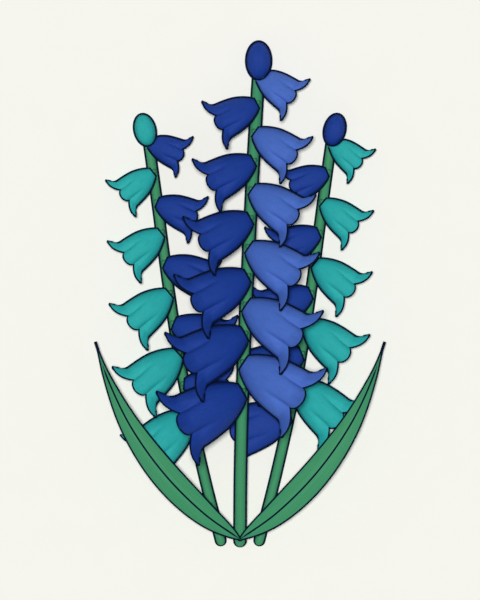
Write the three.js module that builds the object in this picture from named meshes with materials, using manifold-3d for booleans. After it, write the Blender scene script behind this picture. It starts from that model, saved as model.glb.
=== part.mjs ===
// A picked bunch of three hyacinth flower stalks with two leaves, laid on a flat surface.
// X runs across the bunch, Y from the cut ends to the buds, and Z up from the surface.
// Sizes are in millimetres and angles in degrees.

import * as THREE from 'three';
import { mergeVertices } from 'three/addons/utils/BufferGeometryUtils.js';
import Module from 'manifold-3d';

const wasm = await Module();
wasm.setup();

// Gap left between pieces that touch
const SEAT_GAP = 0.3;
// How far the underside of a soft bell or bud is pressed flat where it lies on the surface
const PRESSED = 0.6;
// A bell that rests is tilted by no more than this either way to reach the surface
const MOST_TILT = 20;
// Halvings in a search by bisection
const HALVINGS = 30;
// Points closer than this are one point
const WELD = 1e-4;
const TINY = 1e-9;

// Petal and leaf colours
const NAVY = 0x1e3a89;
const MID_BLUE = 0x4465b2;
const TEAL = 0x2aa3a1;
const GREEN = 0x3f8963;
const ROUGHNESS = 0.55;

// One bell at scale 1: six petals fused into a bell whose lobes curl back at the mouth.
// outside and inside are the places of its rings, from 0 at the neck to 1 at the rim.
const BELL = {
  neckRadius: 3.0,
  swell: 8.6,
  rise: 9.6,
  notchAt: 21.85,
  lobeLength: 3.5,
  groove: 0.25,
  grooveFrom: 0.35,
  grooveWidth: 2.5,
  curlFrom: 0.8,
  curlReach: 5.75,
  curlBend: 1.64,
  curlPoint: 1.35,
  wall: 0.9,
  lobes: 6,
  sides: 24,
  outside: [0, 0.2, 0.6, 0.88, 1],
  inside: [1, 0.88, 0.24],
};

// A bell leans this far past square from the upward direction of its stalk
const BELL_LEAN = 121.4;

// Stalks. The side stalks lie on the surface with the lowest of their flat sides.
const STALK_SIDES = 10;
const STALK_STEPS = 20;
const SIDE_STALK_RADIUS = 2.6;
const CENTRE_STALK_RADIUS = 3.0;
const LYING = SIDE_STALK_RADIUS * Math.cos(Math.PI / STALK_SIDES);
const FOOT_ROWS = 8;

// Stalk centre lines, from the cut end up to the bud. The centre one arches over the others.
const SIDE_LINE = [
  [-9.7, 0.1, LYING], [-18.2, 33.5, LYING], [-28.6, 81.5, LYING],
  [-35.75, 126.3, LYING], [-41.55, 169.8, LYING], [-46.4, 204, LYING],
];
const CENTRE_LINE = [
  [0, 0.05, 9], [0.2, 30, 15.9], [0.8, 60, 21.8], [1.85, 92, 25.8],
  [3.7, 132, 24.5], [5.6, 170, 18.4], [7.6, 206, 11.6], [9.35, 233.6, 3.1],
];

// Flower stems: they leave the stalk above its centre line, on the bell's side, and hook over
const PEDICEL = { radius: 1.2, sides: 5, steps: 3, rootRise: 1, rootReach: 1.5, hook: 2.6 };

// Rows of bells. Each row hangs to one side of its stalk, with the largest bells at the foot.
const SIDE_ROW = { count: 5, pitch: 30.3, growth: 0.1135 };
const SIDE_ROW_LEFT = { ...SIDE_ROW, side: -1, top: 184.55, scale: 0.826 };
const SIDE_ROW_RIGHT = { ...SIDE_ROW, side: 1, top: 199.75, scale: 0.772 };
const CENTRE_ROW_LEFT = {
  count: 6, pitch: 28.8, growth: 0.107, side: -1, top: 218.9, scale: 0.946,
};
const CENTRE_ROW_RIGHT = {
  count: 6, pitch: 28.82, growth: 0.111, side: 1, top: 233.4, scale: 0.888,
};

const SPIKES = {
  left: {
    line: SIDE_LINE,
    radius: SIDE_STALK_RADIUS,
    bud: { x: -47.6, y: 205.65, width: 5.5, length: 8.3, turn: 14, color: TEAL },
    rows: [
      { name: 'outer', color: TEAL, ...SIDE_ROW_LEFT },
      { name: 'inner', color: NAVY, ...SIDE_ROW_RIGHT },
    ],
  },
  centre: {
    line: CENTRE_LINE,
    radius: CENTRE_STALK_RADIUS,
    bud: { x: 9.35, y: 240.4, width: 6.45, length: 9.75, turn: 0, color: NAVY },
    rows: [
      { name: 'left', color: NAVY, ...CENTRE_ROW_LEFT },
      { name: 'right', color: MID_BLUE, ...CENTRE_ROW_RIGHT },
    ],
  },
  right: {
    line: mirrored(SIDE_LINE),
    radius: SIDE_STALK_RADIUS,
    bud: { x: 47.4, y: 205.7, width: 5.5, length: 8.3, turn: -14, color: NAVY },
    rows: [
      { name: 'inner', color: NAVY, ...SIDE_ROW_LEFT },
      { name: 'outer', color: TEAL, ...SIDE_ROW_RIGHT },
    ],
  },
};

// How high a bell's neck lies above its stalk's centre line, beyond the stalk's radius
const LIFT_PER_SCALE = 4.6;

// The first bell of a row that begins under a bud's end is squeezed aside by the bud, with room
// between them. Its stem leaves the stalk lower down and holds it from underneath: stemReach is
// how far along the bell it ends, and clear how far below the bell's underside.
const SQUEEZE = {
  firmness: 12,
  room: 0.35,
  stemDrop: 6,
  stemReach: 3.4,
  stemLength: 2.5,
  clear: 0.95,
};

// Squeeze in depth, and how far a bell of the centre spike tips up from the stalk's slope
const SIDE_FLAT = 0.85;
const CENTRE_FLAT = 0.92;
const CENTRE_TILT = { first: -4, last: 14.5, bend: 0.66 };

// Lobes. arch shapes the rim of a lobe, curl is how far it bends outward there, and bend how far
// that pushes it up. The curl of the side lobes depends on their room, and that of the front
// lobe on the spike.
const LOBES = {
  side: { length: 1, bend: 0 },
  front: { length: 0.72, arch: 0.5, bend: 0 },
  back: { length: 0.7, curl: 0.1, arch: 0.5, bend: 0 },
  upperBack: { length: 0.85, curl: 0.3, arch: 0.55, bend: 0 },
  lowerBack: { length: 0.6, curl: -0.45, arch: 0.5, bend: 0 },
};
const SIDE_ARCH = { least: 0.5, perCurl: 0.18 };

// Curl of the side lobes. From the place COVERED_FROM on, the inner bells lie under the centre
// spike, which keeps their side lobes from opening.
const OPEN_TIP = 1;
const COVERED_TIP = 0.4;
const COVERED_FROM = 4;

// Curl of the front lobe, and how far the next bell of the spike pushes up a lower lobe
const SIDE_FACE = 0.1;
const CENTRE_FACE = 0.5;
const SIDE_BEND = 0.35;
const CENTRE_BEND = 1;

// Bells that lie squeezed under the foot of the centre spike, and one whose lobes curl less
const FITTED = {
  bell_right_inner_5: { flat: 0.6 },
  bell_left_inner_5: { scale: 0.94, lean: 105.6, tip: 0.25 },
  bell_left_outer_5: { tip: 0.7 },
};

// Buds: closed, with creases that lie in from the rest by their part of the radius, and blunt
// by a part of a ring step at both ends
const BUD = { sides: 12, rows: 9, blunt: 0.12, creases: 3, crease: 0.96 };

// Leaves: midrib from the meeting point at the foot out to the tip. swell and taper shape the
// blade towards its foot and its tip, and it is never narrower than twice the least half width.
const LEAF_LINE = [
  [0.3, 0.6, 13.9], [-18.1, 13.8, 20], [-38, 33.8, 25.5],
  [-54.9, 57.7, 26], [-66.4, 81.7, 20.5], [-72.4, 99.5, 13],
];
const LEAF = {
  half: 6.95,
  swell: 0.8,
  taper: 1.45,
  channel: 2.0,
  channelBend: 1.4,
  middle: 1.4,
  edge: 0.8,
  least: 0.75,
  steps: 20,
};
const LEAF_ACROSS = [-1, -0.55, 0, 0.55, 1];

// Helpers
function vec(x, y, z) {
  return new THREE.Vector3(x, y, z);
}

function mirrored(line) {
  return line.map(([x, y, z]) => [-x, y, z]);
}

function smoothStep(from, to, value) {
  const t = Math.min(1, Math.max(0, (value - from) / (to - from)));
  return t * t * (3 - 2 * t);
}

// Closed body through rings of equal count, with both ends capped. otherWay tells, by ring and
// by place round it, which quads are split along their other diagonal.
function skinRings(rings, otherWay = () => false) {
  const count = rings[0].length;
  const last = (rings.length - 1) * count;
  const faces = [];
  for (let r = 0; r + 1 < rings.length; r++) {
    for (let k = 0; k < count; k++) {
      const a = r * count + k;
      const b = r * count + ((k + 1) % count);
      const c = b + count;
      const d = a + count;
      if (otherWay(r, k)) faces.push(a, b, d, b, c, d);
      else faces.push(a, b, c, a, c, d);
    }
  }
  for (let k = 1; k + 1 < count; k++) {
    faces.push(0, k + 1, k);
    faces.push(last, last + k, last + k + 1);
  }
  const geometry = new THREE.BufferGeometry().setFromPoints(rings.flat());
  geometry.setIndex(faces);
  return geometry;
}

// Geometry to a solid that can be joined and cut, and back
function toSolid(geometry) {
  const bare = geometry.clone();
  bare.deleteAttribute('normal');
  bare.deleteAttribute('uv');
  const merged = mergeVertices(bare, WELD);
  return new wasm.Manifold(new wasm.Mesh({
    numProp: 3,
    vertProperties: new Float32Array(merged.attributes.position.array),
    triVerts: new Uint32Array(merged.index.array),
  }));
}

function toGeometry(solid) {
  const mesh = solid.getMesh();
  const geometry = new THREE.BufferGeometry();
  geometry.setAttribute('position', new THREE.BufferAttribute(mesh.vertProperties, 3));
  geometry.setIndex(new THREE.BufferAttribute(mesh.triVerts, 1));
  return geometry;
}

function makeMesh(name, geometry, color) {
  const bare = geometry.clone();
  bare.computeVertexNormals();
  const material = new THREE.MeshStandardMaterial({ color, roughness: ROUGHNESS, metalness: 0 });
  const mesh = new THREE.Mesh(bare, material);
  mesh.name = name;
  return mesh;
}

// Radius of a bell's body at a distance from its neck, before the petals' grooves
function bodyRadius(along) {
  return BELL.neckRadius + BELL.swell * (1 - Math.exp(-along / BELL.rise));
}

// A point of the petals' outer face. turn is the angle about the axis in radians, and part
// runs from 0 at the neck to 1 at the rim. Each lobe has its length and how far it curls back.
function petalPoint(turn, part, lobes) {
  const lobeSpan = (2 * Math.PI) / BELL.lobes;
  const place = Math.floor(turn / lobeSpan + TINY);
  const lobe = lobes[place % BELL.lobes];
  const off = Math.abs(turn / lobeSpan - place - 0.5) * 2;
  const arch = Math.sin(lobe.arch * Math.PI * (1 - off));
  const rim = BELL.notchAt + BELL.lobeLength * lobe.length * arch;
  const along = part * rim;
  const pinch = 1 - BELL.groove * smoothStep(BELL.grooveFrom, 1, part) * off ** BELL.grooveWidth;
  const mouth = Math.max(0, (part - BELL.curlFrom) / (1 - BELL.curlFrom)) ** BELL.curlBend;
  const curl = lobe.curl * BELL.curlReach * mouth * (1 - off) ** BELL.curlPoint;
  return { along, radius: bodyRadius(along) * pinch + curl, rise: lobe.bend * curl };
}

// The inner face lies one wall thickness inside the outer face.
function liningPoint(turn, part, lobes) {
  const step = 0.01;
  const here = petalPoint(turn, part, lobes);
  const before = petalPoint(turn, part - step, lobes);
  const run = here.along - before.along;
  const climb = here.radius - before.radius;
  const length = Math.hypot(run, climb);
  return {
    along: here.along + (BELL.wall * climb) / length,
    radius: here.radius - (BELL.wall * run) / length,
    rise: here.rise,
  };
}

// Bell along +X, with its front lobe towards +Z. flat squeezes it in depth. The quads of the
// lining are split like those of the outer face, so the two never cross.
function bellGeometry({ scale, lobes, flat }) {
  const ring = (pointAt, part) => {
    const points = [];
    for (let k = 0; k < BELL.sides; k++) {
      const turn = (2 * Math.PI * k) / BELL.sides;
      const { along, radius, rise } = pointAt(turn, part, lobes);
      points.push(vec(
        scale * along,
        scale * radius * Math.cos(turn),
        scale * (flat * radius * Math.sin(turn) + rise),
      ));
    }
    return points;
  };
  const outer = BELL.outside.map((part) => ring(petalPoint, part));
  const inner = BELL.inside.map((part) => ring(liningPoint, part));
  return skinRings([...outer, ...inner], (r) => r >= BELL.outside.length);
}

// Where a bell sits: axis across the stalk and down it, lifted off the stalk, mouth tilted
function bellFrame({ stalk, side, height, lift, tilt, lean }) {
  const seat = stalk.at(height);
  const turn = THREE.MathUtils.degToRad(-side * lean);
  const upward = vec(seat.up.x, seat.up.y, 0);
  const slope = seat.up.z / upward.length();
  upward.normalize();
  const axis = upward.clone().applyAxisAngle(vec(0, 0, 1), turn);
  const across = vec(-axis.y, axis.x, 0);
  const base = seat.point.clone().add(vec(0, 0, lift));
  axis.z = Math.tan(THREE.MathUtils.degToRad(tilt)) + slope * axis.dot(upward);
  across.z = slope * across.dot(upward);
  return new THREE.Matrix4().makeBasis(axis, across, vec(0, 0, 1)).setPosition(base);
}

// Moves a point out of the oval that the bud fills, seen from above. A point close to the bud
// is pushed out to its side, and one well away keeps its place.
function squeezedAside(point, bud) {
  const oval = new THREE.Matrix4().makeRotationZ(THREE.MathUtils.degToRad(bud.turn));
  oval.scale(vec(bud.width + SQUEEZE.room, bud.length + SQUEEZE.room, 1));
  oval.setPosition(bud.x, bud.y, 0);
  const local = point.clone().applyMatrix4(oval.clone().invert());
  const push = (1 + Math.hypot(local.x, local.y) ** -SQUEEZE.firmness) ** (1 / SQUEEZE.firmness);
  return vec(local.x * push, local.y * push, local.z).applyMatrix4(oval);
}

function placedBell(bell) {
  const geometry = bellGeometry(bell).applyMatrix4(bellFrame(bell));
  const place = geometry.attributes.position;
  for (let n = 0; n < place.count && bell.squeezedBy; n++) {
    const point = squeezedAside(new THREE.Vector3().fromBufferAttribute(place, n), bell.squeezedBy);
    place.setXYZ(n, point.x, point.y, point.z);
  }
  return geometry;
}

// Flattens what would reach below the surface. The wall above the flat keeps its thickness.
function pressFlat(geometry, outerCount, wall) {
  const place = geometry.attributes.position;
  for (let n = 0; n < place.count; n++) {
    const floor = n < outerCount ? 0 : wall;
    if (place.getZ(n) < floor) place.setZ(n, floor);
  }
  return geometry;
}

// Tilts a bell until its underside is pressed on the surface by the amount above.
function restOnSurface(bell) {
  let low = -MOST_TILT;
  let high = MOST_TILT;
  for (let n = 0; n < HALVINGS; n++) {
    bell.tilt = (low + high) / 2;
    const geometry = placedBell(bell);
    geometry.computeBoundingBox();
    if (geometry.boundingBox.min.z < -PRESSED) low = bell.tilt;
    else high = bell.tilt;
  }
}

// Centre line of a stalk, with the point and the upward direction at a given height
function stalkLine(points) {
  const curve = new THREE.CatmullRomCurve3(points.map(([x, y, z]) => vec(x, y, z)));
  const at = (height) => {
    let low = 0;
    let high = 1;
    for (let n = 0; n < HALVINGS; n++) {
      const middle = (low + high) / 2;
      if (curve.getPoint(middle).y < height) low = middle;
      else high = middle;
    }
    return { point: curve.getPoint(low), up: curve.getTangent(low) };
  };
  return { curve, at };
}

function tube(curve, radius, sides, steps) {
  const shape = new THREE.Shape();
  for (let k = 0; k < sides; k++) {
    const turn = (2 * Math.PI * (k + 0.5)) / sides;
    const point = [radius * Math.cos(turn), radius * Math.sin(turn)];
    if (k === 0) shape.moveTo(...point);
    else shape.lineTo(...point);
  }
  return new THREE.ExtrudeGeometry(shape, { steps, bevelEnabled: false, extrudePath: curve });
}

// Flower stem from inside the stalk, hooked over to the neck of a bell
function hookedStem(bell) {
  const frame = bellFrame(bell);
  const flatAxis = new THREE.Vector3().setFromMatrixColumn(frame, 0).setZ(0).normalize();
  const base = new THREE.Vector3().setFromMatrixPosition(frame);
  const root = vec(0, 0, PEDICEL.rootRise).addScaledVector(flatAxis, -PEDICEL.rootReach);
  const start = bell.stalk.at(bell.height).point.add(root);
  const end = base.clone().addScaledVector(flatAxis, -SEAT_GAP);
  const bend = end.clone().addScaledVector(flatAxis, -PEDICEL.hook);
  return new THREE.QuadraticBezierCurve3(start, bend, end);
}

// Flower stem that holds a squeezed bell from underneath
function stemUnder(bell) {
  const depth = bell.scale * bell.flat * bodyRadius(SQUEEZE.stemReach / bell.scale);
  const place = vec(SQUEEZE.stemReach, 0, -depth - SQUEEZE.clear).applyMatrix4(bellFrame(bell));
  const end = squeezedAside(place, bell.squeezedBy);
  const start = bell.stalk.at(bell.height - SQUEEZE.stemDrop).point;
  const bend = end.clone().add(vec(0, 0, -SQUEEZE.stemLength));
  return new THREE.QuadraticBezierCurve3(start, bend, end);
}

function pedicel(bell) {
  const curve = bell.squeezedBy ? stemUnder(bell) : hookedStem(bell);
  return tube(curve, PEDICEL.radius, PEDICEL.sides, PEDICEL.steps);
}

// Stalk with a rounded foot, its flower stems, and room for the bud at its tip
function stalkSolid(spike, bells, budRoom) {
  const shaft = tube(spike.stalk.curve, spike.radius, STALK_SIDES, STALK_STEPS);
  const foot = new THREE.SphereGeometry(spike.radius, STALK_SIDES, FOOT_ROWS);
  const start = spike.stalk.curve.getPoint(0);
  foot.translate(start.x, start.y, start.z);
  let solid = toSolid(shaft).add(toSolid(foot));
  for (const bell of bells) solid = solid.add(toSolid(pedicel(bell)));
  return solid.subtract(budRoom);
}

// Oval bud along +Y. grow widens it on all sides.
function budGeometry(bud, grow) {
  const span = BUD.sides / BUD.creases;
  const rings = [];
  for (let r = 0; r <= BUD.rows; r++) {
    const reach = -Math.cos((Math.PI * (r + BUD.blunt)) / (BUD.rows + 2 * BUD.blunt));
    const swell = Math.sqrt(1 - reach * reach);
    const ring = [];
    for (let k = 0; k < BUD.sides; k++) {
      const turn = (2 * Math.PI * (k + 0.5)) / BUD.sides;
      const crease = k % span < span / 2 ? 1 : BUD.crease;
      const radius = (bud.width * crease + grow) * swell;
      ring.push(vec(radius * Math.cos(turn), (bud.length + grow) * reach, -radius * Math.sin(turn)));
    }
    rings.push(ring);
  }
  return skinRings(rings);
}

function placedBud(bud, grow) {
  const geometry = budGeometry(bud, grow);
  geometry.rotateZ(THREE.MathUtils.degToRad(bud.turn));
  geometry.translate(bud.x, bud.y, bud.width - PRESSED);
  return geometry;
}

// Half the blade's width at a part of its length
function leafHalf(t) {
  const fullest = LEAF.swell / (LEAF.swell + LEAF.taper);
  const rise = (t / fullest) ** LEAF.swell;
  const fall = ((1 - t) / (1 - fullest)) ** LEAF.taper;
  return Math.max(LEAF.least, LEAF.half * rise * fall);
}

// Leaf blade along its midrib, thickest there, with both edges raised into a channel. The feet
// of the two leaves lie flat against each other.
function leafGeometry(points) {
  const curve = new THREE.CatmullRomCurve3(points.map(([x, y, z]) => vec(x, y, z)));
  const outward = Math.sign(points[1][0]);
  const rings = [];
  for (let n = 0; n <= LEAF.steps; n++) {
    const t = n / LEAF.steps;
    const middle = curve.getPointAt(t);
    const along = curve.getTangentAt(t);
    const across = vec(along.y, -along.x, 0).normalize();
    const half = leafHalf(t);
    const point = (v, drop) => {
      const rise = LEAF.channel * Math.abs(v) ** LEAF.channelBend * (half / LEAF.half);
      const place = middle.clone().addScaledVector(across, half * v).add(vec(0, 0, rise - drop));
      return place.setX(outward * Math.max(outward * place.x, SEAT_GAP / 2));
    };
    const thick = (v) => THREE.MathUtils.lerp(LEAF.middle, LEAF.edge, Math.abs(v));
    const top = LEAF_ACROSS.map((v) => point(v, 0));
    const under = [...LEAF_ACROSS].reverse().map((v) => point(v, thick(v)));
    rings.push([...top, ...under]);
  }
  return skinRings(rings, (r, k) => k >= LEAF_ACROSS.length);
}

// Lobes in turn order: three on the upper side and three underneath
function bellLobes(side, tip, face, bend) {
  const arch = SIDE_ARCH.least + SIDE_ARCH.perCurl * tip;
  const upper = { ...LOBES.side, curl: tip, arch };
  const lower = { ...upper, bend };
  const front = { ...LOBES.front, curl: face };
  return side > 0
    ? [upper, front, lower, LOBES.lowerBack, LOBES.back, LOBES.upperBack]
    : [lower, front, upper, LOBES.upperBack, LOBES.back, LOBES.lowerBack];
}

function centreTilt(part) {
  return THREE.MathUtils.lerp(CENTRE_TILT.first, CENTRE_TILT.last, part ** CENTRE_TILT.bend);
}

function rowBells(spike, spikeName, row) {
  const bells = [];
  for (let n = 0; n < row.count; n++) {
    const name = `bell_${spikeName}_${row.name}_${n + 1}`;
    const scale = row.scale + row.growth * n;
    const centre = spikeName === 'centre';
    const covered = row.name === 'inner' && n >= COVERED_FROM;
    const tip = FITTED[name]?.tip ?? (covered ? COVERED_TIP : OPEN_TIP);
    const [face, bend] = centre ? [CENTRE_FACE, CENTRE_BEND] : [SIDE_FACE, SIDE_BEND];
    const bell = {
      name,
      scale,
      color: row.color,
      stalk: spike.stalk,
      side: row.side,
      height: row.top - row.pitch * n,
      lift: spike.radius + 2 * SEAT_GAP + LIFT_PER_SCALE * scale,
      flat: centre ? CENTRE_FLAT : SIDE_FLAT,
      lobes: bellLobes(row.side, tip, face, bend),
      tilt: centre ? centreTilt(n / (row.count - 1)) : 0,
      lean: BELL_LEAN,
      rests: !centre,
      squeezedBy: row.side > 0 && n === 0 ? spike.bud : null,
      ...FITTED[name],
    };
    bells.push(bell);
  }
  return bells;
}

const bunch = new THREE.Group();

for (const [spikeName, spike] of Object.entries(SPIKES)) {
  spike.stalk = stalkLine(spike.line);
  const bells = spike.rows.flatMap((row) => rowBells(spike, spikeName, row));
  for (const bell of bells) {
    if (bell.rests) restOnSurface(bell);
    const geometry = placedBell(bell);
    if (bell.rests) pressFlat(geometry, BELL.outside.length * BELL.sides, BELL.wall);
    bunch.add(makeMesh(bell.name, geometry, bell.color));
  }
  const stalk = stalkSolid(spike, bells, toSolid(placedBud(spike.bud, SEAT_GAP)));
  bunch.add(makeMesh(`stalk_${spikeName}`, toGeometry(stalk), GREEN));
  const bud = pressFlat(placedBud(spike.bud, 0), Infinity, 0);
  bunch.add(makeMesh(`bud_${spikeName}`, bud, spike.bud.color));
}
bunch.add(makeMesh('leaf_left', leafGeometry(LEAF_LINE), GREEN));
bunch.add(makeMesh('leaf_right', leafGeometry(mirrored(LEAF_LINE)), GREEN));

// The origin lies on the surface, under the middle of the bunch
const box = new THREE.Box3().setFromObject(bunch);
const middle = box.getCenter(vec(0, 0, 0));
for (const mesh of bunch.children) mesh.geometry.translate(-middle.x, -middle.y, -box.min.z);

export default bunch;
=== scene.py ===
"""A picked bunch of hyacinth flower stalks with two leaves, laid on a pale surface.

Sizes are in millimetres: X across the bunch, Y from the foot of the centre stalk towards the
buds, and Z up from the surface. Mesh points are turned into metres where a piece is made.
"""

import math

import bmesh
import bpy
import numpy as np
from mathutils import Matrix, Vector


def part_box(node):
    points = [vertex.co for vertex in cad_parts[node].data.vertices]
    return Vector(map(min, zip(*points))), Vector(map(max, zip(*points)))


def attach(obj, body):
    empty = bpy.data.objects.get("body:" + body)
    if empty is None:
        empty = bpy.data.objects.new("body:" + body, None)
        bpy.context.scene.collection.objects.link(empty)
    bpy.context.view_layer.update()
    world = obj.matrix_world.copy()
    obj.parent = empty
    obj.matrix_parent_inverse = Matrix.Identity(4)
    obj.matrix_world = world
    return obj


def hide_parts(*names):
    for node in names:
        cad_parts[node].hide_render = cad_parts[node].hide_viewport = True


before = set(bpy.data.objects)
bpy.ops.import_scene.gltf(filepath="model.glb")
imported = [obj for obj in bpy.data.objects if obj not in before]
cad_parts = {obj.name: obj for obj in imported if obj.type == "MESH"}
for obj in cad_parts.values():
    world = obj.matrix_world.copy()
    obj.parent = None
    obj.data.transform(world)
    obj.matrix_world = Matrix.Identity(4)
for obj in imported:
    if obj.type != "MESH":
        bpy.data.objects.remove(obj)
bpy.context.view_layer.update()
MM = 0.001

# Keeps an angle between two petals in the petal that starts there
TINY = 1e-9

# Colours, in sRGB parts of 255
NAVY = (25, 60, 147)
MID_BLUE = (72, 108, 193)
TEAL = (40, 171, 169)
GREEN = (63, 146, 101)
INK = (12, 24, 50)
POLLEN = (214, 196, 120)
PISTIL = (196, 208, 160)
PAPER = (244, 243, 236)

# Lowest level of any point of the bunch
FLOOR_CLEARANCE = 0.02

# Dark margins along petals, leaves and stalks: half their width, and how far the rounded bodies
# between them are drawn in. A tapered one has its full width from 1 / MARGIN_TAPER of its length
MARGIN = 0.47
INSET = 0.4
MARGIN_SIDES = 6
MARGIN_TAPER = 24
MARGIN_END = 0.3

# One bell at scale 1: six petals fused into a bell whose lobes curl back at the mouth. Grooves
# and curls start at parts of the way from the neck to the rim
NECK_RADIUS = 3.0
SWELL = 8.6
SWELL_RISE = 9.6
NOTCH_AT = 21.85
LOBE_LENGTH = 3.5
GROOVE = 0.25
GROOVE_FROM = 0.35
GROOVE_WIDTH = 2.5
CURL_FROM = 0.8
CURL_REACH = 5.75
CURL_BEND = 1.64
CURL_POINT = 1.35
LOBES = 6
SLOPE_STEP = 0.01

# Rings and wall of a bell's plain solid, which sets how the bell rests
COARSE_SIDES = 24
COARSE_OUTSIDE = (0, 0.2, 0.6, 0.88, 1)
COARSE_INSIDE = (1, 0.88, 0.24)
COARSE_WALL = 0.9

# How bells hang from the stalks and rest: their lean off the stalk in degrees, how flat they and
# the buds are pressed, and the range of tilts, in degrees, that is halved to find the right one
BELL_LEAN = 121.4
SEAT_GAP = 0.3
PRESSED = 0.6
MOST_TILT = 20
HALVINGS = 30

# Fine bell: rings along it, the domed end of its neck, its walls and the keels of its petals
FINE_SIDES = 84
BODY_RINGS = 22
MOUTH_RINGS = 14
NECK_DOME = (0.25, 0.6, 0.86)
DOME_HEIGHT = 0.5
NECK_WALL = 0.9
RIM_WALL = 0.45
KEEL = 0.16
KEEL_WIDTH = 0.16
KEEL_FROM = 0.08
KEEL_FULL = 0.4
SOLID_NECK_RINGS = 3
FLANK_TURNS = 25
FLANK_POINTS = 40

# Stamens and pistil of a bell at scale 1. The stamens run between two parts of the way to the rim
STAMEN_PARTS = (0.3, 0.52)
STAMEN_DEPTH = 2.2
STAMEN_RADIUS = 0.62
STAMEN_SWELL = (0.3, 0.75, 0.95, 1, 0.95, 0.75, 0.3)
STAMEN_SIDES = 8
PISTIL_HEIGHTS = (0.5, 1.5, 3, 4.5, 5.6, 6.4, 8, 9.6, 10.2, 10.8)
PISTIL_RADII = (0.8, 1.7, 2.1, 1.9, 1.2, 0.55, 0.45, 0.45, 0.8, 0.5)
PISTIL_SIDES = 10
HEART_LEAN = 0.3

# Stalks. The side stalks' plain solids have few sides and lie on one of them
SIDE_RADIUS = 2.6
CENTRE_RADIUS = 3.0
COARSE_STALK_SIDES = 10
LYING = SIDE_RADIUS * math.cos(math.pi / COARSE_STALK_SIDES)
SIDE_LINE = (
    (-9.7, 0.1, LYING), (-18.2, 33.5, LYING), (-28.6, 81.5, LYING),
    (-35.75, 126.3, LYING), (-41.55, 169.8, LYING), (-46.4, 204, LYING),
)
CENTRE_LINE = (
    (0, 0.05, 9), (0.2, 30, 15.9), (0.8, 60, 21.8), (1.85, 92, 25.8),
    (3.7, 132, 24.5), (5.6, 170, 18.4), (7.6, 206, 11.6), (9.35, 233.6, 3.1),
)
STALK_SIDES = 32
STALK_RINGS = 130
FOOT_RINGS = 11
FOOT_LEAST = 0.02
FOOT_MARGIN_POINTS = 17

# Flower stems: they flare at the root and swell at the end that carries a bell
PEDICEL_RADIUS = 1.1
PEDICEL_RISE = 1.0
PEDICEL_ROOT = 0.3
PEDICEL_HOOK = 1.2
PEDICEL_SIDES = 14
PEDICEL_RINGS = 14
PEDICEL_END = 0.5
PEDICEL_FLARE = 0.35
PEDICEL_FLARE_FADE = 8
PEDICEL_SWELL = 0.3
PEDICEL_SWELL_FROM = 0.75
PEDICEL_RUN = 10

# Rows of bells, counted from the top. The centre stalk's bells tilt more towards its foot
SIDE_ROW = {"count": 5, "pitch": 30.3, "growth": 0.1135}
SIDE_ROW_LEFT = {**SIDE_ROW, "side": -1, "top": 184.55, "scale": 0.826}
SIDE_ROW_RIGHT = {**SIDE_ROW, "side": 1, "top": 199.75, "scale": 0.772}
CENTRE_ROW_LEFT = {
    "count": 6, "pitch": 28.8, "growth": 0.107, "side": -1, "top": 218.9, "scale": 0.946,
}
CENTRE_ROW_RIGHT = {
    "count": 6, "pitch": 28.82, "growth": 0.111, "side": 1, "top": 233.4, "scale": 0.888,
}
LIFT_PER_SCALE = 4.6
SIDE_FLAT = 0.85
CENTRE_FLAT = 0.92
CENTRE_TILT_FIRST = -4
CENTRE_TILT_LAST = 14.5
CENTRE_TILT_BEND = 0.66

# Lobes, by place. A bell's two side lobes curl by its tip and the front lobe by its face, and
# the lower side lobe rises by bend times its curl
SIDE_LOBE = {"length": 1, "bend": 0}
FRONT_LOBE = {"length": 0.72, "arch": 0.5, "bend": 0}
BACK_LOBE = {"length": 0.7, "curl": 0.1, "arch": 0.5, "bend": 0}
UPPER_BACK_LOBE = {"length": 0.85, "curl": 0.3, "arch": 0.55, "bend": 0}
LOWER_BACK_LOBE = {"length": 0.6, "curl": -0.45, "arch": 0.5, "bend": 0}
ARCH_LEAST = 0.5
ARCH_PER_CURL = 0.18
OPEN_TIP = 1
COVERED_TIP = 0.4
COVERED_FROM = 4
SIDE_FACE = 0.1
CENTRE_FACE = 0.5
SIDE_BEND = 0.35
CENTRE_BEND = 1

# Bells that are fitted one by one
FITTED = {
    "bell_right_inner_5": {"flat": 0.6},
    "bell_left_inner_5": {"scale": 0.94, "lean": 105.6, "tip": 0.25},
    "bell_left_outer_5": {"tip": 0.7},
}

# The first bell of a row that begins under a bud's end is squeezed aside by the bud, and its
# stem holds it from underneath
SQUEEZE_FIRMNESS = 12
SQUEEZE_ROOM = 0.35
STEM_DROP = 6
STEM_REACH = 3.4
STEM_LENGTH = 2.5
STEM_CLEAR = 0.95

SPIKES = {
    "left": {
        "line": SIDE_LINE,
        "radius": SIDE_RADIUS,
        "bud": {"x": -47.6, "y": 205.65, "width": 5.5, "length": 8.3, "turn": 14, "petal": "teal"},
        "rows": (
            {"name": "outer", "petal": "teal", **SIDE_ROW_LEFT},
            {"name": "inner", "petal": "navy", **SIDE_ROW_RIGHT},
        ),
    },
    "centre": {
        "line": CENTRE_LINE,
        "radius": CENTRE_RADIUS,
        "bud": {"x": 9.35, "y": 240.4, "width": 6.45, "length": 9.75, "turn": 0, "petal": "navy"},
        "rows": (
            {"name": "left", "petal": "navy", **CENTRE_ROW_LEFT},
            {"name": "right", "petal": "blue", **CENTRE_ROW_RIGHT},
        ),
    },
    "right": {
        "line": tuple((-x, y, z) for x, y, z in SIDE_LINE),
        "radius": SIDE_RADIUS,
        "bud": {"x": 47.4, "y": 205.7, "width": 5.5, "length": 8.3, "turn": -14, "petal": "navy"},
        "rows": (
            {"name": "inner", "petal": "navy", **SIDE_ROW_LEFT},
            {"name": "outer", "petal": "teal", **SIDE_ROW_RIGHT},
        ),
    },
}

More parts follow.
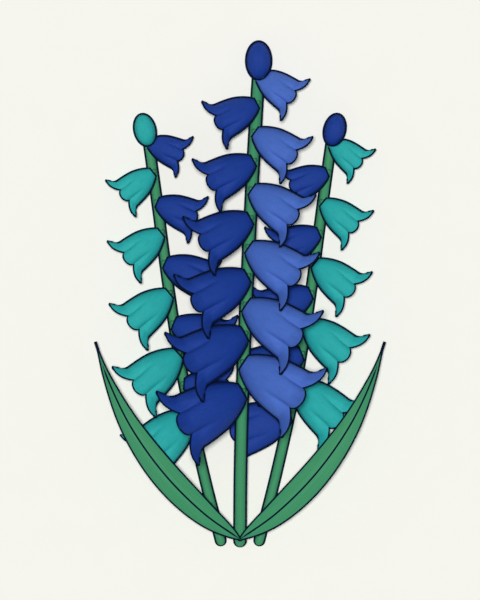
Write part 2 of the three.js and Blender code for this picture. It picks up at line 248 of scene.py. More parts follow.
# Buds. The dark margin runs a little above a bud's widest line, over the bell beside it
BUD_SIDES = 60
BUD_ROWS = 40
BUD_BLUNT = 0.12
BUD_SEAMS = (math.pi / 6, 5 * math.pi / 6, 3 * math.pi / 2)
BUD_PETAL_HALF = math.pi / 3
BUD_RUN = 10
SEAM_DEPTH = 0.045
SEAM_WIDTH = 0.13
BUD_MARGIN_RISE = 1.0

# Leaves: the middle line of the left one, and the blade's widths, channel and thicknesses
LEAF_LINE = (
    (0.3, 0.6, 13.9), (-18.1, 13.8, 20), (-38, 33.8, 25.5),
    (-54.9, 57.7, 26), (-66.4, 81.7, 20.5), (-72.4, 99.5, 13),
)
LEAF_HALF = 6.95
LEAF_SWELL = 0.8
LEAF_TAPER = 1.45
LEAF_FULLEST = LEAF_SWELL / (LEAF_SWELL + LEAF_TAPER)
LEAF_FOOT = 0.75
LEAF_TIP = 0.3
LEAF_CHANNEL = 2.0
LEAF_CHANNEL_BEND = 1.4
LEAF_MIDDLE = 1.4
LEAF_EDGE = 0.6
LEAF_STEPS = 96
LEAF_COLUMNS = 28
MIDRIB_END = 0.905

# Looks: how far the noises are drawn out, the middle range of a noise that tones follow, and the
# wider one that gloss follows
PETAL_STRANDS = (9, 9, 0.12)
PETAL_CLOUDS = (1, 1, 0.15)
MIDLINE_HALF = 0.14
MIDLINE_TONE = 0.94
STALK_RIBS = (3, 0.03, 3)
CUT_END = 3.0
CUT_END_TONE = 1.15
LEAF_VEINS = 34
LEAF_VEIN_TONE = 0.02
LEAF_CLOUDS = (1, 0.08)
MIDRIB_SIDE = (0.05, 0.4)
MIDRIB_SIDE_TONE = 1.05
TONE_RANGE = (0.3, 0.7)
GLOSS_RANGE = (0.2, 0.8)
ROUGHNESS_SPREAD = 0.05
PLANT_SPECULAR = 0.15

# Places of a piece's further materials, after the one of its body
INK_SLOT = 1
POLLEN_SLOT = 2
PISTIL_SLOT = 3

# Picture: its height, true at PICTURE_LEVEL above the surface, the place on the bunch that its
# middle shows, the camera's lens and sensor, and how far it sees in metres
PICTURE_HEIGHT = 300
PICTURE_MIDDLE = 120.5
PICTURE_LEVEL = 20
LENS = 1000
SENSOR = 36
FAR_CLIP = 60

# Light: parts of the full brightness that come from the soft lamp overhead and from all round,
# the lamp's width and tilt in degrees, and half the floor's width in metres
LAMP_SHARE = 0.91
ROUND_SHARE = 0.11
LAMP_ANGLE = 6
LAMP_TILT = (-1, -1)
FLOOR_HALF = 5.0

UP = np.array((0.0, 0.0, 1.0))

# The part's origin lies under its middle, this far up the centre stalk
bud_low, bud_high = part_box("bud_centre")
MIDDLE = SPIKES["centre"]["bud"]["y"] - (bud_low.y + bud_high.y) / 2 / MM


# Numbers and curves


def srgb(colour):
    """sRGB parts of 255 to linear RGBA."""
    parts = []
    for part in colour:
        c = part / 255
        parts.append(c / 12.92 if c <= 0.04045 else ((c + 0.055) / 1.055) ** 2.4)
    return (*parts, 1.0)


def smooth_step(start, end, value):
    t = np.clip((value - start) / (end - start), 0, 1)
    return t * t * (3 - 2 * t)


def unit(vectors):
    return vectors / np.linalg.norm(vectors, axis=-1, keepdims=True)


def lerp(a, b, t):
    return a + (b - a) * t


class Curve:
    """Centripetal Catmull-Rom curve through points, with its ends carried on straight."""

    SAMPLES = 2001
    STEP = 1e-4

    def __init__(self, points):
        points = np.array(points, float)
        self.spans = len(points) - 1
        self.padded = np.vstack([2 * points[0] - points[1], points, 2 * points[-1] - points[-2]])
        self.steps = np.linspace(0, 1, self.SAMPLES)
        self.samples = self.point(self.steps)
        runs = np.linalg.norm(np.diff(self.samples, axis=0), axis=1)
        self.lengths = np.concatenate([[0], np.cumsum(runs)])

    def point(self, t):
        t = np.clip(t, 0, 1)
        place = np.minimum((t * self.spans).astype(int), self.spans - 1)
        weight = (t * self.spans - place)[:, None]
        p0, p1, p2, p3 = (self.padded[place + k] for k in range(4))
        d0, d1, d2 = (
            np.linalg.norm(b - a, axis=1, keepdims=True) ** 0.5
            for a, b in ((p0, p1), (p1, p2), (p2, p3))
        )
        start = ((p1 - p0) / d0 - (p2 - p0) / (d0 + d1) + (p2 - p1) / d1) * d1
        end = ((p2 - p1) / d1 - (p3 - p1) / (d1 + d2) + (p3 - p2) / d2) * d1
        square = -3 * p1 + 3 * p2 - 2 * start - end
        cube = 2 * p1 - 2 * p2 + start + end
        return p1 + weight * (start + weight * (square + weight * cube))

    def direction(self, t):
        return unit(self.point(t + self.STEP) - self.point(t - self.STEP))

    def at_lengths(self, shares):
        """Curve values t at shares of the curve's length."""
        return np.interp(shares, self.lengths / self.lengths[-1], self.steps)

    def at_height(self, height):
        """Point and direction where the curve reaches a height along Y."""
        t = np.array([np.interp(height, self.samples[:, 1], self.steps)])
        return self.point(t)[0], self.direction(t)[0]


def hooked(start, bend, end, count):
    """Points on the curve that leaves start towards bend and arrives at end from there."""
    t = np.linspace(0, 1, count)[:, None]
    return (1 - t) ** 2 * start + 2 * t * (1 - t) * bend + t**2 * end


# Meshes


class Piece:
    """Gathers the points and faces of one piece, with a material and marks for each part."""

    def __init__(self):
        self.points = []
        self.faces = []
        self.slots = []
        self.marks = []
        self.count = 0

    def add(self, points, faces, slot=0, marks=None):
        points = np.asarray(points, float).reshape(-1, 3)
        marks = np.zeros_like(points) if marks is None else np.asarray(marks).reshape(-1, 3)
        self.points.append(points)
        self.marks.append(marks)
        self.faces += [tuple(int(v) + self.count for v in face) for face in faces]
        self.slots += [slot] * len(faces)
        self.count += len(points)

    def make(self, name, materials):
        points = np.vstack(self.points) - (0, MIDDLE, 0)
        points[:, 2] = np.maximum(points[:, 2], FLOOR_CLEARANCE)
        mesh = bpy.data.meshes.new(name)
        mesh.from_pydata((points * MM).tolist(), [], self.faces)
        marks = mesh.attributes.new("marks", "FLOAT_VECTOR", "POINT")
        marks.data.foreach_set("vector", np.vstack(self.marks).astype(np.float32).ravel())
        for material in materials:
            mesh.materials.append(material)
        mesh.polygons.foreach_set("material_index", self.slots)
        mesh.polygons.foreach_set("use_smooth", [True] * len(mesh.polygons))
        bm = bmesh.new()
        bm.from_mesh(mesh)
        bmesh.ops.recalc_face_normals(bm, faces=bm.faces)
        bm.to_mesh(mesh)
        bm.free()
        piece = bpy.data.objects.new(name, mesh)
        bpy.context.scene.collection.objects.link(piece)
        return piece


def grid_faces(rows, columns, capped=False):
    """Faces of a grid of points, closed round its columns, with its two ends capped."""
    faces = []
    for r in range(rows - 1):
        for k in range(columns):
            a = r * columns + k
            b = r * columns + (k + 1) % columns
            faces.append((a, b, b + columns, a + columns))
    if capped:
        last = (rows - 1) * columns
        faces.append(tuple(range(columns - 1, -1, -1)))
        faces.append(tuple(range(last, last + columns)))
    return faces


def ring_turns(sides):
    return 2 * np.pi * np.arange(sides) / sides


def tube(path, radius, sides, reference, closed=False):
    """Rings of points round a path, and their faces. reference is a direction off the path."""
    path = np.asarray(path, float)
    radius = np.broadcast_to(radius, len(path))
    if closed:
        along = unit(np.roll(path, -1, axis=0) - np.roll(path, 1, axis=0))
    else:
        along = unit(np.gradient(path, axis=0))
    across = unit(np.cross(along, reference))
    above = np.cross(across, along)
    turn = ring_turns(sides)[:, None]
    ring = across[:, None] * np.cos(turn) + above[:, None] * np.sin(turn)
    points = path[:, None] + ring * radius[:, None, None]
    if closed:
        points = np.concatenate([points, points[:1]])
    return points, grid_faces(len(points), sides, capped=not closed)


def add_margin(piece, path, reference, closed=False, tapered=False):
    """Dark rounded margin along a path, which can taper at both ends."""
    share = np.linspace(0, 1, len(path))
    ends = np.clip(np.minimum(share, 1 - share) * MARGIN_TAPER, MARGIN_END, 1)
    radius = MARGIN * (ends if tapered else 1)
    piece.add(*tube(path, radius, MARGIN_SIDES, reference, closed), INK_SLOT)


# Bells


def body_radius(along):
    return NECK_RADIUS + SWELL * (1 - np.exp(-along / SWELL_RISE))


def petal_point(turn, part, lobes):
    """Along, radius and rise of the petals' outer face, and how far off a petal's midline it is.
    turn is the angle about the axis, and part runs from 0 at the neck to 1 at the rim."""
    span = turn / (2 * math.pi / LOBES) + TINY
    place = np.floor(span).astype(int) % LOBES
    off = np.abs(span - np.floor(span) - 0.5) * 2
    length, lobe_curl, arch, bend = (
        np.array([lobe[key] for lobe in lobes])[place] for key in ("length", "curl", "arch", "bend")
    )
    rim = NOTCH_AT + LOBE_LENGTH * length * np.sin(arch * math.pi * (1 - off))
    along = part * rim
    pinch = 1 - GROOVE * smooth_step(GROOVE_FROM, 1, part) * off**GROOVE_WIDTH
    mouth = np.maximum(0, (part - CURL_FROM) / (1 - CURL_FROM)) ** CURL_BEND
    curl = lobe_curl * CURL_REACH * mouth * (1 - off) ** CURL_POINT
    return along, body_radius(along) * pinch + curl, bend * curl, off


def lining_point(turn, part, lobes, wall):
    """The inner face, one wall thickness inside the outer face."""
    along, radius, rise, off = petal_point(turn, part, lobes)
    before = petal_point(turn, part - SLOPE_STEP, lobes)
    run, climb = along - before[0], radius - before[1]
    length = np.hypot(run, climb)
    return along + wall * climb / length, radius - wall * run / length, rise, off


def squeezed_aside(points, bud):
    """Moves points out of the oval that the bud fills, seen from above."""
    lean = math.radians(bud["turn"])
    basis = np.array(((math.cos(lean), math.sin(lean)), (-math.sin(lean), math.cos(lean))))
    size = np.array((bud["width"], bud["length"])) + SQUEEZE_ROOM
    centre = np.array((bud["x"], bud["y"]))
    local = (points[..., :2] - centre) @ basis.T / size
    reach = np.linalg.norm(local, axis=-1, keepdims=True)
    push = (1 + reach**-SQUEEZE_FIRMNESS) ** (1 / SQUEEZE_FIRMNESS)
    return np.concatenate([centre + local * push * size @ basis, points[..., 2:]], axis=-1)


def free_points(bell, turn, along, radius, rise):
    """Template places of a bell to points in the bunch."""
    local = bell["scale"] * np.stack([
        along,
        radius * np.cos(turn),
        bell["flat"] * radius * np.sin(turn) + rise,
    ], axis=-1)
    base, basis = bell_frame(bell)
    return base + local @ basis


def fitted(bell, points):
    """Points of a bell where the bud next to it leaves them."""
    return squeezed_aside(points, bell["squeezed_by"]) if bell["squeezed_by"] else points


def bell_points(bell, *place):
    return fitted(bell, free_points(bell, *place))


def bell_frame(bell):
    """Base point and the directions of a bell's axis, its width and its depth."""
    seat, up = bell["stalk"].at_height(bell["height"])
    flat_length = math.hypot(up[0], up[1])
    upward = up[:2] / flat_length
    slope = up[2] / flat_length
    turn = math.radians(-bell["side"] * bell["lean"])
    cos, sin = math.cos(turn), math.sin(turn)
    axis = np.array((cos * upward[0] - sin * upward[1], sin * upward[0] + cos * upward[1]))
    across = np.array((-axis[1], axis[0]))
    rise = math.tan(math.radians(bell["tilt"])) + slope * (axis @ upward)
    basis = np.array(((*axis, rise), (*across, slope * (across @ upward)), (0, 0, 1)))
    return seat + bell["lift"] * UP, basis


def coarse_bottom(bell):
    """Lowest level of the bell's plain solid, which sets how it rests."""
    turn = ring_turns(COARSE_SIDES)
    rings = [petal_point(turn, part, bell["lobes"]) for part in COARSE_OUTSIDE]
    rings += [lining_point(turn, part, bell["lobes"], COARSE_WALL) for part in COARSE_INSIDE]
    return min(bell_points(bell, turn, *ring[:3])[:, 2].min() for ring in rings)


def rest_on_surface(bell):
    """Tilts a bell until its underside is pressed on the surface."""
    low, high = -MOST_TILT, MOST_TILT
    for _ in range(HALVINGS):
        bell["tilt"] = (low + high) / 2
        if coarse_bottom(bell) < -PRESSED:
            low = bell["tilt"]
        else:
            high = bell["tilt"]


def bell_lobes(side, tip, face, bend):
    """Lobes in turn order: three that face up and three underneath."""
    upper = {**SIDE_LOBE, "curl": tip, "arch": ARCH_LEAST + ARCH_PER_CURL * tip}
    lower = {**upper, "bend": bend}
    front = {**FRONT_LOBE, "curl": face}
    if side > 0:
        return [upper, front, lower, LOWER_BACK_LOBE, BACK_LOBE, UPPER_BACK_LOBE]
    return [lower, front, upper, UPPER_BACK_LOBE, BACK_LOBE, LOWER_BACK_LOBE]


def row_bells(spike, spike_name, row):
    bells = []
    centre = spike_name == "centre"
    for n in range(row["count"]):
        name = f"bell_{spike_name}_{row['name']}_{n + 1}"
        covered = row["name"] == "inner" and n >= COVERED_FROM
        tip = FITTED.get(name, {}).get("tip", COVERED_TIP if covered else OPEN_TIP)
        face, bend = (CENTRE_FACE, CENTRE_BEND) if centre else (SIDE_FACE, SIDE_BEND)
        scale = row["scale"] + row["growth"] * n
        tilt_share = (n / (row["count"] - 1)) ** CENTRE_TILT_BEND
        bell = {
            "name": name,
            "petal": row["petal"],
            "stalk": spike["stalk"],
            "side": row["side"],
            "scale": scale,
            "height": row["top"] - row["pitch"] * n,
            "lift": spike["radius"] + 2 * SEAT_GAP + LIFT_PER_SCALE * scale,
            "flat": CENTRE_FLAT if centre else SIDE_FLAT,
            "lobes": bell_lobes(row["side"], tip, face, bend),
            "tilt": lerp(CENTRE_TILT_FIRST, CENTRE_TILT_LAST, tilt_share),
            "lean": BELL_LEAN,
            "squeezed_by": spike["bud"] if row["side"] > 0 and n == 0 else None,
            **FITTED.get(name, {}),
        }
        if not centre:
            rest_on_surface(bell)
        bells.append(bell)
    return bells


def bell_marks(turn, off, along):
    """Marks of the petals for their material: off the midline, along, and the turn."""
    return np.stack([off, along, turn], axis=-1)


def add_petals(piece, bell):
    """Petals with keels outside and a lining inside, from the domed neck to the rim and back.
    The lining ends where the neck is solid."""
    lobes = bell["lobes"]
    turn = ring_turns(FINE_SIDES)
    body_parts = np.linspace(0, CURL_FROM, BODY_RINGS)
    mouth_parts = np.linspace(CURL_FROM, 1, MOUTH_RINGS + 1)[1:]
    parts = np.concatenate([body_parts, mouth_parts])
    rows, marks = [], []
    for share in NECK_DOME:
        dome = np.full_like(turn, -DOME_HEIGHT * math.sqrt(1 - share**2))
        rows.append(bell_points(bell, turn, dome, NECK_RADIUS * share, 0 * turn))
        marks.append(bell_marks(turn, 0 * turn, dome))
    for part in parts:
        along, radius, rise, off = petal_point(turn, part, lobes)
        keel = KEEL * np.exp(-((off / KEEL_WIDTH) ** 2)) * smooth_step(KEEL_FROM, KEEL_FULL, part)
        inset = INSET / bell["scale"] * (1 - smooth_step(CURL_FROM, 1, part))
        rows.append(bell_points(bell, turn, along, radius + keel - inset, rise))
        marks.append(bell_marks(turn, off, along))
    outside = len(rows)
    for part in parts[SOLID_NECK_RINGS:][::-1]:
        wall = lerp(NECK_WALL, RIM_WALL, part)
        along, radius, rise, off = lining_point(turn, part, lobes, wall)
        rows.append(bell_points(bell, turn, along, radius, rise))
        marks.append(bell_marks(turn, off, along))
    points = np.array(rows)
    points[:outside, :, 2] = np.maximum(points[:outside, :, 2], 0)
    points[outside:, :, 2] = np.maximum(points[outside:, :, 2], RIM_WALL * bell["scale"])
    piece.add(points, grid_faces(len(rows), FINE_SIDES, capped=True), 0, marks)


def add_bell_margins(piece, bell):
    """Dark margins round the rim and along the two flanks, and round a neck that shows."""
    turn = ring_turns(FINE_SIDES)
    axis = bell_frame(bell)[1][0]
    rim = petal_point(turn, 1.0, bell["lobes"])
    lining = lining_point(turn, 1.0, bell["lobes"], RIM_WALL)
    middle = [(a + b) / 2 for a, b in zip(rim[:3], lining[:3])]
    add_margin(piece, bell_points(bell, turn, *middle), axis, closed=True)
    if not bell["squeezed_by"]:
        neck = bell_points(bell, turn, 0 * turn, np.full_like(turn, NECK_RADIUS), 0 * turn)
        add_margin(piece, neck, axis, closed=True)
    for start in (0, math.pi):
        add_margin(piece, bell_flank(bell, start), UP, tapered=True)


def bell_flank(bell, start):
    """Line along which a bell reaches out furthest to one side, on its upper half."""
    inward = 1 if start == 0 else -1
    turns = start + inward * np.linspace(0, math.pi / LOBES, FLANK_TURNS)
    path = []
    for part in np.linspace(0, 1, FLANK_POINTS):
        along, radius, rise, _ = petal_point(turns, part, bell["lobes"])
        best = np.argmax(radius * np.abs(np.cos(turns)))
        path.append(bell_points(bell, turns, along, radius, rise)[best])
    return path


def add_heart(piece, bell):
    """Six stamens along the wall and a pistil on the axis, held inside the bell."""
    reference = UP + HEART_LEAN * bell_frame(bell)[1][0]
    parts = np.linspace(*STAMEN_PARTS, len(STAMEN_SWELL))
    swell = np.array(STAMEN_SWELL) * STAMEN_RADIUS * bell["scale"]
    for n in range(LOBES):
        turn = np.full(len(parts), (n + 0.5) * 2 * math.pi / LOBES)
        along, radius, rise, _ = petal_point(turn, parts, bell["lobes"])
        path = free_points(bell, turn, along, radius - STAMEN_DEPTH, rise)
        points, faces = tube(path, swell, STAMEN_SIDES, reference)
        piece.add(fitted(bell, points), faces, POLLEN_SLOT)
    heights = np.array(PISTIL_HEIGHTS)
    swell = np.array(PISTIL_RADII) * bell["scale"]
    flat = np.zeros_like(heights)
    path = free_points(bell, flat, heights, flat, flat)
    points, faces = tube(path, swell, PISTIL_SIDES, reference)
    piece.add(fitted(bell, points), faces, PISTIL_SLOT)


def make_bell(bell, materials):
    piece = Piece()
    add_petals(piece, bell)
    add_bell_margins(piece, bell)
    add_heart(piece, bell)
    name = bell["name"].replace("bell_", "petals_")
    made = piece.make(name, [materials[bell["petal"]], *materials["heart"]])
    return made


# Stalks, buds and leaves


def make_stalk(name, spike, bells, materials):
    """Smooth stalk with a rounded foot, its flower stems and dark margins."""
    curve = spike["stalk"]
    radius = spike["radius"]
    t = curve.at_lengths(np.linspace(0, 1, STALK_RINGS))
    shaft, along = curve.point(t), curve.direction(t)
    foot_swell = np.linspace(FOOT_LEAST, 1, FOOT_RINGS + 1)[:-1]
    foot = shaft[0] - along[0] * (radius * np.sqrt(1 - foot_swell**2))[:, None]
    path = np.concatenate([foot, shaft])
    swell = np.concatenate([foot_swell, np.ones(len(t))]) * (radius - INSET)
    points, faces = tube(path, swell, STALK_SIDES, UP)
    ring = np.broadcast_to(ring_turns(STALK_SIDES), points.shape[:2])
    run = np.cumsum(np.r_[0, np.linalg.norm(np.diff(path, axis=0), axis=1)])
    marks = np.stack([np.cos(ring), np.broadcast_to(run[:, None], ring.shape), np.sin(ring)], -1)
    piece = Piece()
    piece.add(points, faces, 0, marks)
    for bell in bells:
        add_flower_stem(piece, bell)

    across = unit(np.cross(along, UP))
    turn = np.linspace(0, math.pi, FOOT_MARGIN_POINTS)[1:-1, None]
    round_foot = shaft[0] + radius * (np.cos(turn) * across[0] - np.sin(turn) * along[0])
    outline = np.concatenate([
        (shaft + radius * across)[::-1], round_foot, shaft - radius * across
    ])
    add_margin(piece, outline, UP)
    made = piece.make(f"stem_{name}", [materials["stalk"], materials["ink"]])
    return made


def hooked_stem(bell):
    """Flower stem from inside the stalk, hooked over into the neck of a bell."""
    base, basis = bell_frame(bell)
    out = unit(np.array((*basis[0][:2], 0)))
    seat, _ = bell["stalk"].at_height(bell["height"])
    start = seat - PEDICEL_ROOT * out + PEDICEL_RISE * UP
    end = base - SEAT_GAP * out
    path = hooked(start, end - PEDICEL_HOOK * out, end, PEDICEL_RINGS)
    return np.vstack([path, base + PEDICEL_END * out]), out


def stem_under(bell):
    """Flower stem that holds a squeezed bell from underneath."""
    base, basis = bell_frame(bell)
    depth = bell["scale"] * bell["flat"] * body_radius(STEM_REACH / bell["scale"])
    place = base + np.array((STEM_REACH, 0, -depth - STEM_CLEAR)) @ basis
    end = squeezed_aside(place, bell["squeezed_by"])
    start, _ = bell["stalk"].at_height(bell["height"] - STEM_DROP)
    path = hooked(start, end - STEM_LENGTH * UP, end, PEDICEL_RINGS)
    out = unit((end - start) * (1, 1, 0))
    return np.vstack([path, end + (STEM_CLEAR + PEDICEL_END) * UP]), out


def add_flower_stem(piece, bell):
    path, out = stem_under(bell) if bell["squeezed_by"] else hooked_stem(bell)
    share = np.linspace(0, 1, len(path))
    flare = PEDICEL_FLARE * np.exp(-share * PEDICEL_FLARE_FADE)
    swell = PEDICEL_SWELL * smooth_step(PEDICEL_SWELL_FROM, 1, share)
    radius = PEDICEL_RADIUS * (1 + flare + swell)
    points, faces = tube(path, radius, PEDICEL_SIDES, np.cross(UP, out))
    marks = np.zeros_like(points)
    marks[..., 1] = PEDICEL_RUN * share[:, None]
    piece.add(points, faces, 0, marks)


def make_bud(name, bud, materials):
    """Oval closed bud: three outer petals that meet in shallow seams."""
    width, length = bud["width"], bud["length"]
    rows = np.arange(BUD_ROWS) + BUD_BLUNT
    reach = -np.cos(math.pi * rows / (BUD_ROWS - 1 + 2 * BUD_BLUNT))[:, None]
    turn = ring_turns(BUD_SIDES)
    seam = np.minimum.reduce([
        np.abs((turn - place + np.pi) % (2 * np.pi) - np.pi) for place in BUD_SEAMS
    ])
    crease = SEAM_DEPTH * np.exp(-((seam / SEAM_WIDTH) ** 2)) * np.cos(np.pi * reach / 2)
    radius = (width - INSET) * np.sqrt(1 - reach**2) * (1 - crease)
    local = np.stack([
        radius * np.cos(turn),
        np.broadcast_to((length - INSET) * reach, radius.shape),
        radius * np.sin(turn),
    ], -1)
    ring = ring_turns(FINE_SIDES)
    oval = np.stack([width * np.cos(ring), length * np.sin(ring), 0 * ring], -1)
    lean = math.radians(bud["turn"])
    cos, sin = math.cos(lean), math.sin(lean)
    basis = np.array(((cos, sin, 0), (-sin, cos, 0), (0, 0, 1)))
    centre = np.array((bud["x"], bud["y"], width - PRESSED))
    marks = np.stack([
        np.broadcast_to(1 - np.clip(seam / BUD_PETAL_HALF, 0, 1), radius.shape),
        np.broadcast_to(BUD_RUN + length * reach, radius.shape),
        np.broadcast_to(turn, radius.shape),
    ], -1)
    piece = Piece()
    piece.add(centre + local @ basis, grid_faces(BUD_ROWS, BUD_SIDES, capped=True), 0, marks)
    add_margin(piece, centre + oval @ basis + BUD_MARGIN_RISE * UP, UP, closed=True)
    made = piece.make(f"closed_{name}", [materials[bud["petal"]], materials["ink"]])
    return made


def leaf_half(t):
    """Half the blade's width at parts of its length."""
    rise = (t / LEAF_FULLEST) ** LEAF_SWELL
    fall = ((1 - t) / (1 - LEAF_FULLEST)) ** LEAF_TAPER
    least = np.where(t < LEAF_FULLEST, LEAF_FOOT, LEAF_TIP)
    return np.maximum(least, LEAF_HALF * rise * fall)


def make_leaf(name, points, materials):
    """Channelled blade with a dark midrib line and dark margins. The feet of the two leaves lie
    flat against each other."""
    curve = Curve(points)
    outward = np.sign(points[1][0])
    t = np.linspace(0, 1, LEAF_STEPS + 1)
    places = curve.at_lengths(t)
    middle, along = curve.point(places), curve.direction(places)
    across = unit(np.stack([along[:, 1], -along[:, 0], 0 * t], -1))
    half = leaf_half(t)

    def beside(place):
        """Keeps points on the leaf's own side of the plane between the two feet."""
        place[..., 0] = outward * np.maximum(outward * place[..., 0], SEAT_GAP / 2)
        return place

    def blade(v, drop):
        """Rows of points at parts v of the half width, a drop below the blade's upper face."""
        rise = LEAF_CHANNEL * np.abs(v) ** LEAF_CHANNEL_BEND * (half / LEAF_HALF)[:, None] - drop
        reach = half[:, None] * v
        return beside(middle[:, None] + across[:, None] * reach[..., None] + UP * rise[..., None])

    v = np.linspace(-1, 1, LEAF_COLUMNS + 1)
    thick = lerp(LEAF_MIDDLE, LEAF_EDGE, np.abs(v))
    loop = np.concatenate([blade(v, 0 * v), blade(v[::-1], thick[::-1])], axis=1)
    columns = np.concatenate([v, v[::-1]])
    marks = np.stack([
        np.broadcast_to(columns, loop.shape[:2]),
        np.broadcast_to(curve.lengths[-1] * t[:, None], loop.shape[:2]),
        half[:, None] * columns,
    ], -1)
    piece = Piece()
    piece.add(loop, grid_faces(len(t), loop.shape[1], capped=True), 0, marks)
    for side in (-1, 1):
        add_margin(piece, blade(np.array([side]), LEAF_EDGE / 2)[:, 0], UP)
    add_margin(piece, beside(middle[t <= MIDRIB_END]), UP, tapered=True)
    made = piece.make(f"blade_{name}", [materials["leaf"], materials["ink"]])
    return made


# Materials


class Nodes:
    """Short calls for building a material's nodes."""

    def __init__(self, name):
        self.material = bpy.data.materials.new(name)
        self.material.use_nodes = True
        self.tree = self.material.node_tree
        self.shader = self.tree.nodes["Principled BSDF"]

    def add(self, kind, **values):
        node = self.tree.nodes.new(kind)
        for key, value in values.items():
            setattr(node, key, value)
        return node

    def feed(self, value, socket):
        """Links an output to a socket, or sets the socket to a number."""
        if isinstance(value, (int, float)):
            socket.default_value = value
        else:
            self.tree.links.new(value, socket)

    def marks(self):
        """X, Y and Z of the marks laid down with the mesh."""
        attribute = self.add("ShaderNodeAttribute", attribute_name="marks")
        split = self.add("ShaderNodeSeparateXYZ")
        self.feed(attribute.outputs["Vector"], split.inputs[0])
        return split.outputs

    def maths(self, operation, *values):
        node = self.add("ShaderNodeMath", operation=operation)
        for value, socket in zip(values, node.inputs):
            self.feed(value, socket)
        return node.outputs[0]

    def vector(self, *values):
        node = self.add("ShaderNodeCombineXYZ")
        for value, socket in zip(values, node.inputs):
            self.feed(value, socket)
        return node.outputs[0]

    def noise(self, vector, scale, detail=2.0):
        node = self.add("ShaderNodeTexNoise")
        node.inputs["Scale"].default_value = scale
        node.inputs["Detail"].default_value = detail
        self.feed(vector, node.inputs["Vector"])
        return node.outputs[0]

    def stretched(self, values, factors):
        """Vector of values, each times its own factor, to draw a noise out."""
        return self.vector(*(self.maths("MULTIPLY", *pair) for pair in zip(values, factors)))

    def span(self, value, low, high, out_low, out_high):
        node = self.add("ShaderNodeMapRange")
        for given, socket in zip((value, low, high, out_low, out_high), node.inputs):
            self.feed(given, socket)
        return node.outputs[0]

    def varied(self, noise, by):
        """Factor round 1 that follows a noise, by this much to each side."""
        return self.span(noise, *TONE_RANGE, 1 - by, 1 + by)

    def scaled_colour(self, colour, *factors):
        """Colour times each of the factors, to the shader's base colour."""
        total = factors[0]
        for factor in factors[1:]:
            total = self.maths("MULTIPLY", total, factor)
        node = self.add("ShaderNodeVectorMath", operation="SCALE")
        node.inputs[0].default_value = srgb(colour)[:3]
        self.feed(total, node.inputs["Scale"])
        self.feed(node.outputs[0], self.shader.inputs["Base Color"])

    def roughness(self, noise, least, most, over=GLOSS_RANGE):
        self.feed(self.span(noise, *over, least, most), self.shader.inputs["Roughness"])

    def bump(self, height, distance):
        node = self.add("ShaderNodeBump")
        node.inputs["Distance"].default_value = distance * MM
        self.feed(height, node.inputs["Height"])
        self.feed(node.outputs[0], self.shader.inputs["Normal"])

    def finish(self, **values):
        for key, value in values.items():
            self.shader.inputs[key.replace("_", " ")].default_value = value
        return self.material


def petal_material(name, colour):
    """Waxy petal: fine strands from neck to rim, a deeper midline and a soft uneven gloss."""
    nodes = Nodes(name)
    off, along, turn = nodes.marks()
    place = (nodes.maths("COSINE", turn), nodes.maths("SINE", turn), along)
    strands = nodes.noise(nodes.stretched(place, PETAL_STRANDS), scale=3.2, detail=3)
    clouds = nodes.noise(nodes.stretched(place, PETAL_CLOUDS), scale=1.6)
    nodes.scaled_colour(
        colour,
        nodes.varied(strands, by=0.06),
        nodes.varied(clouds, by=0.04),
        nodes.span(off, 0, MIDLINE_HALF, MIDLINE_TONE, 1),
    )
    nodes.roughness(strands, least=0.58, most=0.7)
    nodes.bump(strands, distance=0.2)
    return nodes.finish(
        Subsurface_Weight=0.06, Subsurface_Scale=MM, Specular_IOR_Level=PLANT_SPECULAR
    )


def stalk_material():
    """Fleshy stalk: fine ribs along it and a paler cut end."""
    nodes = Nodes("stalk_green")
    across, run, above = nodes.marks()
    ribs = nodes.noise(nodes.stretched((across, run, above), STALK_RIBS), scale=2.4, detail=3)
    nodes.scaled_colour(
        GREEN,
        nodes.varied(ribs, by=0.07),
        nodes.span(run, 0, CUT_END, CUT_END_TONE, 1),
    )
    nodes.roughness(ribs, least=0.5, most=0.65)
    nodes.bump(ribs, distance=0.25)
    return nodes.finish(
        Subsurface_Weight=0.05, Subsurface_Scale=MM, Specular_IOR_Level=PLANT_SPECULAR
    )


def leaf_material():
    """Leathery blade: parallel veins along it, paler beside the midrib."""
    nodes = Nodes("leaf_green")
    v, run, reach = nodes.marks()
    veins = nodes.maths("SINE", nodes.maths("MULTIPLY", v, LEAF_VEINS))
    clouds = nodes.noise(nodes.stretched((reach, run), LEAF_CLOUDS), scale=0.9, detail=3)
    nodes.scaled_colour(
        GREEN,
        nodes.span(veins, -1, 1, 1 - LEAF_VEIN_TONE, 1 + LEAF_VEIN_TONE),
        nodes.varied(clouds, by=0.05),
        nodes.span(nodes.maths("ABSOLUTE", v), *MIDRIB_SIDE, MIDRIB_SIDE_TONE, 1),
    )
    nodes.roughness(clouds, least=0.5, most=0.65)
    nodes.bump(veins, distance=0.03)
    return nodes.finish(
        Subsurface_Weight=0.05, Subsurface_Scale=MM, Specular_IOR_Level=PLANT_SPECULAR
    )


def plain_material(name, colour, grain, tone, roughness, specular):
    """One colour with a fine grain in tone, gloss and height."""
    nodes = Nodes(name)
    place = nodes.add("ShaderNodeTexCoord").outputs["Object"]
    speck = nodes.noise(place, grain, detail=3)
    nodes.scaled_colour(colour, nodes.varied(speck, by=tone))
    least, most = roughness - ROUGHNESS_SPREAD, roughness + ROUGHNESS_SPREAD
    nodes.roughness(speck, least, most, over=TONE_RANGE)
    nodes.bump(speck, distance=0.03)
    return nodes.finish(Specular_IOR_Level=specular)


# Setting


def make_camera():
    """Looks straight down on the bunch, from far off, with the buds at the top."""
    data = bpy.data.cameras.new("camera")
    data.lens = LENS
    data.sensor_width = SENSOR
    data.clip_end = FAR_CLIP
    camera = bpy.data.objects.new("camera", data)
    distance = PICTURE_HEIGHT * LENS / SENSOR + PICTURE_LEVEL
    camera.location = (0, (PICTURE_MIDDLE - MIDDLE) * MM, distance * MM)
    bpy.context.scene.collection.objects.link(camera)
    bpy.context.scene.camera = camera


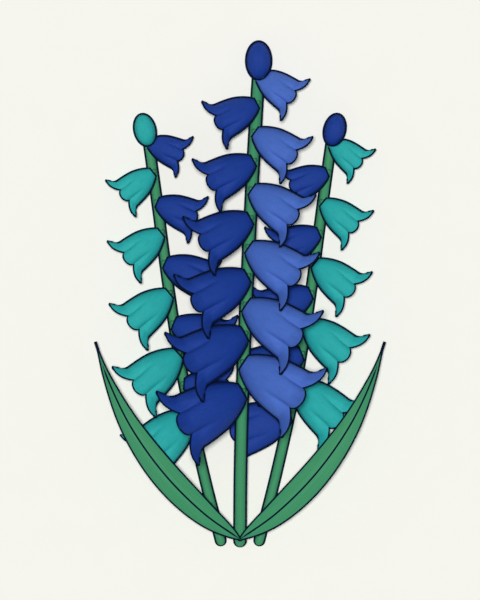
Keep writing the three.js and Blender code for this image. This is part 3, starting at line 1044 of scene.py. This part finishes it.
def make_studio():
    """Plain pale floor, a wide soft lamp high above it and even light from all round."""
    mesh = bpy.data.meshes.new("floor")
    corners = [(x * FLOOR_HALF, y * FLOOR_HALF, 0) for x, y in ((-1, -1), (1, -1), (1, 1), (-1, 1))]
    mesh.from_pydata(corners, [], [(0, 1, 2, 3)])
    mesh.materials.append(plain_material(
        "floor_paper", PAPER, grain=60, tone=0.004, roughness=0.9, specular=0.0
    ))
    floor = bpy.data.objects.new("floor", mesh)
    bpy.context.scene.collection.objects.link(floor)

    world = bpy.data.worlds.new("studio")
    world.use_nodes = True
    background = world.node_tree.nodes["Background"]
    background.inputs["Color"].default_value = (1, 1, 1, 1)
    background.inputs["Strength"].default_value = ROUND_SHARE
    bpy.context.scene.world = world

    light = bpy.data.lights.new("soft_lamp", "SUN")
    light.energy = LAMP_SHARE * math.pi
    light.angle = math.radians(LAMP_ANGLE)
    lamp = bpy.data.objects.new("soft_lamp", light)
    lamp.rotation_euler = (math.radians(LAMP_TILT[0]), math.radians(LAMP_TILT[1]), 0)
    bpy.context.scene.collection.objects.link(lamp)

    bpy.context.scene.view_settings.view_transform = "Standard"
    bpy.context.scene.view_settings.look = "None"


# The bunch

make_camera()
make_studio()

ink = plain_material("ink_margin", INK, grain=900, tone=0.07, roughness=0.9, specular=0.0)
pollen = plain_material("pollen", POLLEN, grain=1500, tone=0.07, roughness=0.8, specular=0.2)
pistil = plain_material("pistil", PISTIL, grain=600, tone=0.07, roughness=0.5, specular=0.2)
materials = {
    "navy": petal_material("petal_navy", NAVY),
    "blue": petal_material("petal_blue", MID_BLUE),
    "teal": petal_material("petal_teal", TEAL),
    "stalk": stalk_material(),
    "leaf": leaf_material(),
    "ink": ink,
    "heart": [ink, pollen, pistil],
}

for spike_name, spike in SPIKES.items():
    spike["stalk"] = Curve(spike["line"])
    bells = [bell for row in spike["rows"] for bell in row_bells(spike, spike_name, row)]
    made = [(make_stalk(spike_name, spike, bells, materials), f"stalk_{spike_name}")]
    made.append((make_bud(spike_name, spike["bud"], materials), f"bud_{spike_name}"))
    made += [(make_bell(bell, materials), bell["name"]) for bell in bells]
    for piece, node in made:
        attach(piece, "root")
        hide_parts(node)

for leaf_name, side in (("left", 1), ("right", -1)):
    line = [(side * x, y, z) for x, y, z in LEAF_LINE]
    piece = make_leaf(leaf_name, line, materials)
    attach(piece, "root")
    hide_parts(f"leaf_{leaf_name}")
